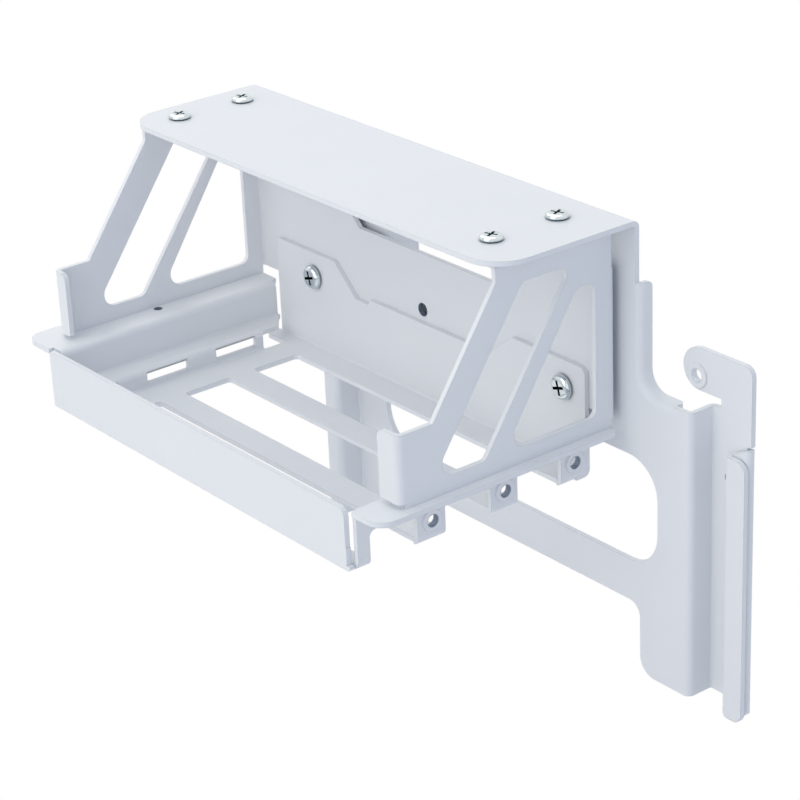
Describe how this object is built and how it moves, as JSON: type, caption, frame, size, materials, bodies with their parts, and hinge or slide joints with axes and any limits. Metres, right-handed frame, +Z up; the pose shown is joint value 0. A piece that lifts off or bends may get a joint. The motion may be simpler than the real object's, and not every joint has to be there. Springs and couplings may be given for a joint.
{
  "type": "gpu support bracket",
  "caption": "White folded sheet-metal bracket that holds an upright graphics card: slotted tray, open cage with cover, and a rear arm that fastens to the computer case.",
  "frame": {"origin": "centre of the case tab hole, on the front face of the case plate", "axes": "+Z up, +Y from the open front towards the rear arm, +X from the tongue slots towards the screw tabs"},
  "size_m": [0.1678, 0.0788, 0.1131],
  "materials": {
    "powder_coat": "fine satin powder coat",
    "screw_zinc": "bright zinc plate"
  },
  "bodies": {
    "root": {"tray": "powder_coat", "cage": "powder_coat", "cover": "powder_coat", "cover_screw_left_front": "screw_zinc", "cover_screw_left_back": "screw_zinc", "cover_screw_right_front": "screw_zinc", "cover_screw_right_back": "screw_zinc", "tray_screw_left": "screw_zinc", "tray_screw_right": "screw_zinc"}
  },
  "joints": []
}
